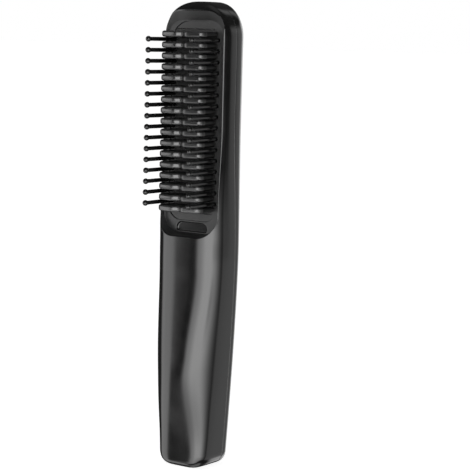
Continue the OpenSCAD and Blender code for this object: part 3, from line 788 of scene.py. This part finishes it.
class Wire:
    """A node's output with arithmetic, so that a finish reads as a formula."""

    def __init__(self, tree, socket):
        self.tree, self.socket = tree, socket

    @classmethod
    def node(cls, tree, kind, inputs=None, out=0, **settings):
        """One node: its settings first, then the values or wires of its inputs."""
        made = tree.nodes.new(kind)
        for key, value in settings.items():
            setattr(made, key, value)
        for key, value in (inputs or {}).items():
            if isinstance(value, Wire):
                value.feed(made.inputs[key])
            else:
                made.inputs[key].default_value = value
        return cls(tree, made.outputs[out])

    def feed(self, socket):
        self.tree.links.new(self.socket, socket)

    def maths(self, operation, *others):
        return self.node(self.tree, "ShaderNodeMath", dict(enumerate((self, *others))),
                         operation=operation)

    def __add__(self, other):
        return self.maths("ADD", other)

    def __mul__(self, other):
        return self.maths("MULTIPLY", other)

    def __sub__(self, other):
        return self.maths("SUBTRACT", other)

    def __rsub__(self, other):
        return self.maths("MULTIPLY_ADD", -1.0, other)

    __radd__ = __add__
    __rmul__ = __mul__

    def ramp(self, low, high):
        """Eased step from 0 at low to 1 at high."""
        return self.node(self.tree, "ShaderNodeMapRange",
                         {"Value": self, "From Min": low, "From Max": high},
                         interpolation_type="SMOOTHSTEP")

    def mix(self, a, b):
        return self.node(self.tree, "ShaderNodeMix", {0: self, 6: a, 7: b}, out=2,
                         data_type="RGBA")


CLOUD_SCALE = 90.0          # slow changes of roughness and colour, per metre
GRAIN_DEEP = 0.0001         # metres
FINE, COARSE, SPONGE = 5200, 2500, 1500


def grey(level):
    return (level, level, level)


def material(name, color, rough, metal=0.0, coat=0.0, coat_rough=0.1, grain=(0, 0),
             patch=0.0, specular=0.5, shift=None):
    """Finish with a fine grain, slow patches of roughness, and a shift between two colours."""
    made = bpy.data.materials.new(name)
    made.use_nodes = True
    tree = made.node_tree
    shader = tree.nodes["Principled BSDF"].inputs
    shader["Base Color"].default_value = (*color, 1)
    shader["Roughness"].default_value = rough
    shader["Metallic"].default_value = metal
    shader["Coat Weight"].default_value = coat
    shader["Coat Roughness"].default_value = coat_rough
    shader["Specular IOR Level"].default_value = specular
    place = Wire.node(tree, "ShaderNodeTexCoord", out="Object")

    def noise(scale, detail):
        return Wire.node(tree, "ShaderNodeTexNoise",
                         {"Vector": place, "Scale": scale, "Detail": detail})

    cloud = noise(CLOUD_SCALE, 3.0)
    if patch:
        (cloud.ramp(0.3, 0.7) * patch + (rough - patch / 2)).feed(shader["Roughness"])
    if shift:
        cloud.ramp(0.35, 0.65).mix((*color, 1), (*shift, 1)).feed(shader["Base Color"])
    size, strength = grain
    if strength:
        Wire.node(tree, "ShaderNodeBump", {"Height": noise(size, 2.0), "Strength": strength,
                                           "Distance": GRAIN_DEEP}).feed(shader["Normal"])
    return made


FINISH = {
    "casing": material("satin_charcoal", grey(0.007), 0.12, grain=(FINE, 0.02), patch=0.03,
                       specular=1.0, shift=grey(0.010)),
    "dish": material("dish_charcoal", grey(0.026), 0.30, grain=(FINE, 0.03), patch=0.05,
                     specular=1.0, shift=grey(0.039)),
    # Lighter copy of the dish charcoal, painted light on the dish wall
    "bevel": material("bevel_charcoal_painted_light", grey(0.046), 0.48, grain=(FINE, 0.03), patch=0.05,
                      specular=0.6, shift=grey(0.052)),
    "plate": material("plate_charcoal", grey(0.050), 0.42, grain=(FINE, 0.03), patch=0.05,
                      shift=grey(0.057)),
    "heated": material("comb_coating", grey(0.022), 0.34, grain=(FINE, 0.03), patch=0.06,
                       specular=0.8, shift=grey(0.027)),
    "tip": material("tip_grey", grey(0.030), 0.33, coat=1.0, coat_rough=0.30,
                    grain=(FINE, 0.02), patch=0.05, specular=1.0, shift=grey(0.036)),
    "bristle": material("bristle_black", grey(0.006), 0.20, patch=0.05, specular=0.9,
                        shift=grey(0.009)),
    "gold": material("gold_plate", (0.83, 0.62, 0.22), 0.14, metal=1.0, patch=0.06,
                     shift=(0.87, 0.65, 0.28)),
    "ceramic": material("ceramic_white", (0.78, 0.76, 0.70), 0.5, patch=0.08,
                        shift=(0.70, 0.68, 0.62)),
    "mica": material("mica_tan", (0.50, 0.42, 0.27), 0.45, patch=0.1,
                     shift=(0.42, 0.35, 0.22)),
    "cover": material("cover_bone", (0.62, 0.60, 0.54), 0.55, grain=(COARSE, 0.15), patch=0.08,
                      shift=(0.58, 0.56, 0.50)),
    "screw": material("screw_zinc", (0.62, 0.62, 0.63), 0.3, metal=1.0, patch=0.1,
                      shift=(0.55, 0.55, 0.56)),
    "black_part": material("part_black", (0.015, 0.015, 0.016), 0.45, patch=0.1,
                           shift=grey(0.02)),
    "fuse_shell": material("fuse_tin", (0.66, 0.64, 0.58), 0.32, metal=1.0, patch=0.1,
                           shift=(0.6, 0.58, 0.52)),
    "red_lead": material("lead_red", (0.42, 0.02, 0.015), 0.45, patch=0.1,
                         shift=(0.36, 0.02, 0.015)),
    "blue_lead": material("lead_blue", (0.02, 0.04, 0.32), 0.45, patch=0.1,
                          shift=(0.02, 0.035, 0.27)),
    "cell_wrap": material("cell_blue", (0.10, 0.19, 0.36), 0.3, patch=0.08,
                          shift=(0.09, 0.17, 0.32)),
    "foam": material("foam_black", grey(0.03), 0.9, grain=(SPONGE, 0.6), patch=0.1,
                     shift=grey(0.04)),
    "board": material("mask_green", (0.015, 0.13, 0.05), 0.35, patch=0.08,
                      shift=(0.02, 0.11, 0.045)),
    "ferrite": material("ferrite_grey", (0.07, 0.07, 0.075), 0.6, patch=0.1,
                        shift=grey(0.09)),
    "socket_shell": material("socket_steel", (0.62, 0.62, 0.64), 0.28, metal=1.0, patch=0.1,
                             shift=(0.57, 0.57, 0.59)),
    "stem": material("stem_cream", (0.70, 0.66, 0.52), 0.4, patch=0.08,
                     shift=(0.66, 0.62, 0.48)),
}


# ---------------------------------------------------------------- assembly

for part in frame["record"]["subparts"]:
    slots = frame["nodes"][part["node"]].data.materials
    for i in range(len(slots)):
        slots[i] = FINISH["dish" if part["node"] == "comb_frame" else part["material_slot"]]


def dress(obj, slot, body="brush", stands_for=(), also=()):
    """Gives a piece its finishes and its body, and hides the CAD nodes that it stands for."""
    for finish in (slot, *also):
        obj.data.materials.append(FINISH[finish])
    if stands_for:
        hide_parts(*stands_for)
    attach(obj, body)


dress(front_casing(), "casing", stands_for=["front_casing"], also=["dish", "bevel"])
dress(rear_casing(), "casing", stands_for=["rear_casing"])
dress(heated_comb(), "heated", stands_for=["heated_comb"], also=["plate"])
dress(tooth_tips(), "tip", stands_for=["tooth_tips"])
dress(bristle_strip(1), "bristle", stands_for=["bristle_strip_right"], also=["plate"])
dress(bristle_strip(-1), "bristle", stands_for=["bristle_strip_left"], also=["plate"])
cap, ring, sign = button_cap(), button_ring(), power_sign()
dress(cap, "gold", "button", ["button_cap"])
dress(sign, "gold", "button")
dress(ring, "gold", "brush", ["button_ring"])


# ---------------------------------------------------------------- stage

def white_to_camera(name, glow):
    """Floor finish that shows white to the camera and still takes the shadow."""
    made = bpy.data.materials.new(name)
    made.use_nodes = True
    tree = made.node_tree
    shader = tree.nodes["Principled BSDF"].inputs
    shader["Base Color"].default_value = (0.8, 0.8, 0.8, 1)
    shader["Roughness"].default_value = 0.8
    shader["Specular IOR Level"].default_value = 0.1
    shader["Emission Strength"].default_value = 1.0
    seen = Wire.node(tree, "ShaderNodeLightPath", out="Is Camera Ray")
    (seen * glow).feed(shader["Emission Color"])
    return made


def stage_plane(name, size, place, turn=(0, 0, 0)):
    """Square sheet of the stage; size and place are in metres."""
    mesh = bpy.data.meshes.new(name)
    h = size / 2
    mesh.from_pydata([(-h, -h, 0), (h, -h, 0), (h, h, 0), (-h, h, 0)], [], [(0, 1, 2, 3)])
    obj = bpy.data.objects.new(name, mesh)
    obj.location, obj.rotation_euler = place, turn
    bpy.context.collection.objects.link(obj)
    return obj


def overhead_lamp():
    """Soft lamp that gives the shadow on the floor, and no highlight."""
    lamp = bpy.data.lights.new("overhead", "AREA")
    lamp.shape, lamp.size, lamp.energy = "SQUARE", 2.0, 6.0
    obj = bpy.data.objects.new("overhead", lamp)
    obj.location = (-0.4, -0.6, 2.0)
    obj.rotation_euler = (math.radians(-17), math.radians(-11), 0)
    obj.visible_camera = obj.visible_glossy = False
    bpy.context.collection.objects.link(obj)


floor = stage_plane("floor", 30.0, (0, 0, 0))
floor.data.materials.append(white_to_camera("floor_white", 0.88))
floor.visible_glossy = False
overhead_lamp()

# A black card close to the comb: only its reflection shows, on the right of each tooth
card = stage_plane("card", 0.2, (-0.035, -0.215, 0.192),
                   (math.radians(90), 0, math.radians(-10)))
card.data.materials.append(material("card_black", grey(0), 1.0, specular=0.0))
for seen_by in ("camera", "diffuse", "transmission", "volume_scatter", "shadow"):
    setattr(card, "visible_" + seen_by, False)


def studio():
    """Soft panels round the brush, painted on the world by azimuth and elevation in degrees.

    Azimuth 0 is -Y, the way the teeth point, and grows towards +X.
    """
    world = bpy.data.worlds.new("studio")
    bpy.context.scene.world = world
    world.use_nodes = True
    tree = world.node_tree
    way = Wire.node(tree, "ShaderNodeTexCoord", out="Generated")
    x, y, z = (Wire.node(tree, "ShaderNodeSeparateXYZ", {0: way}, out=i) for i in range(3))
    azimuth = x.maths("ARCTAN2", y * -1.0) * math.degrees(1)
    elevation = z.maths("ARCSINE") * math.degrees(1)
    turned = azimuth.maths("ABSOLUTE")

    def panel(way, start, rise, fall, end, level):
        return way.ramp(start, rise) * way.ramp(end, fall) * level

    # Panels that stand on the ground lean, so that their edges follow the palm swell
    low = elevation.ramp(-3.0, -9.0)
    high = 1 - low
    drop = (elevation + 6.0).maths("MINIMUM", 0.0)
    front_way = azimuth - drop * 0.6
    left_way = azimuth - drop * 0.3

    # Large panel in front, with one edge that fades in two steps
    edge = front_way.ramp(-31.0, -20.0) * 0.55 + front_way.ramp(-24.0, 8.0) * 0.45
    front = edge * (high * azimuth.ramp(62.0, 38.0) + low * azimuth.ramp(128.0, 40.0)) * 3.1
    front = front * (elevation.ramp(-30.0, -10.0) * 0.4 + 0.6)

    # Dim panel at the right rear, and a bright one behind
    side = low * azimuth.ramp(116.0, 126.0) + high * azimuth.ramp(137.0, 148.0) * 1.1
    side = side * azimuth.ramp(176.0, 165.0) * 0.45
    rear = turned.ramp(157.0, 173.0) * 1.9
    below_top = elevation.ramp(24.0, 12.0)
    band = elevation.ramp(-42.0, -34.0) * below_top

    # Narrow panel on the left, which reaches further down
    left = panel(left_way, -78, -64, -39.5, -36.5, 1.45)
    left = left * elevation.ramp(-62.0, -44.0) * below_top

    # Light on the crown from behind, from straight below, and from above
    crown = turned.ramp(168, 178) * panel(elevation, 20, 30, 40, 60, 0.35)
    ground = elevation.ramp(-54.0, -66.0) * 0.7
    above = elevation.ramp(50.0, 75.0) * 0.15
    light = (front + side + rear) * band + left + crown + ground + above + 0.05

    seen = Wire.node(tree, "ShaderNodeLightPath", out="Is Camera Ray")
    background = tree.nodes["Background"].inputs
    background["Color"].default_value = (1, 1, 1, 1)
    (light * (1 - seen) + seen).feed(background["Strength"])


studio()


# ---------------------------------------------------------------- camera

CAMERA_PLACE = (0.4565, -0.6220, 0.19237)
CAMERA_FORWARD = (-0.572, 0.812, -0.1158)
CAMERA_RIGHT = (0.8176, 0.5758, 0)
CAMERA_ROLL = 1.454
CAMERA_LENS = 134.97


def photo_camera():
    """Camera at the photograph's viewing angle, rolled a little as the photograph is."""
    data = bpy.data.cameras.new("camera")
    data.sensor_width = 36.0
    data.lens = CAMERA_LENS
    data.clip_start, data.clip_end = 0.05, 60
    obj = bpy.data.objects.new("camera", data)
    forward = Vector(CAMERA_FORWARD).normalized()
    right = Vector(CAMERA_RIGHT).normalized()
    up = right.cross(forward).normalized()
    roll = math.radians(CAMERA_ROLL)
    across = right * math.cos(roll) + up * math.sin(roll)
    upward = up * math.cos(roll) - right * math.sin(roll)
    turn = Matrix((across, upward, -forward)).transposed()
    obj.matrix_world = Matrix.Translation(Vector(CAMERA_PLACE)) @ turn.to_4x4()
    bpy.context.collection.objects.link(obj)
    bpy.context.scene.camera = obj


photo_camera()
bpy.context.scene.view_settings.view_transform = "Standard"
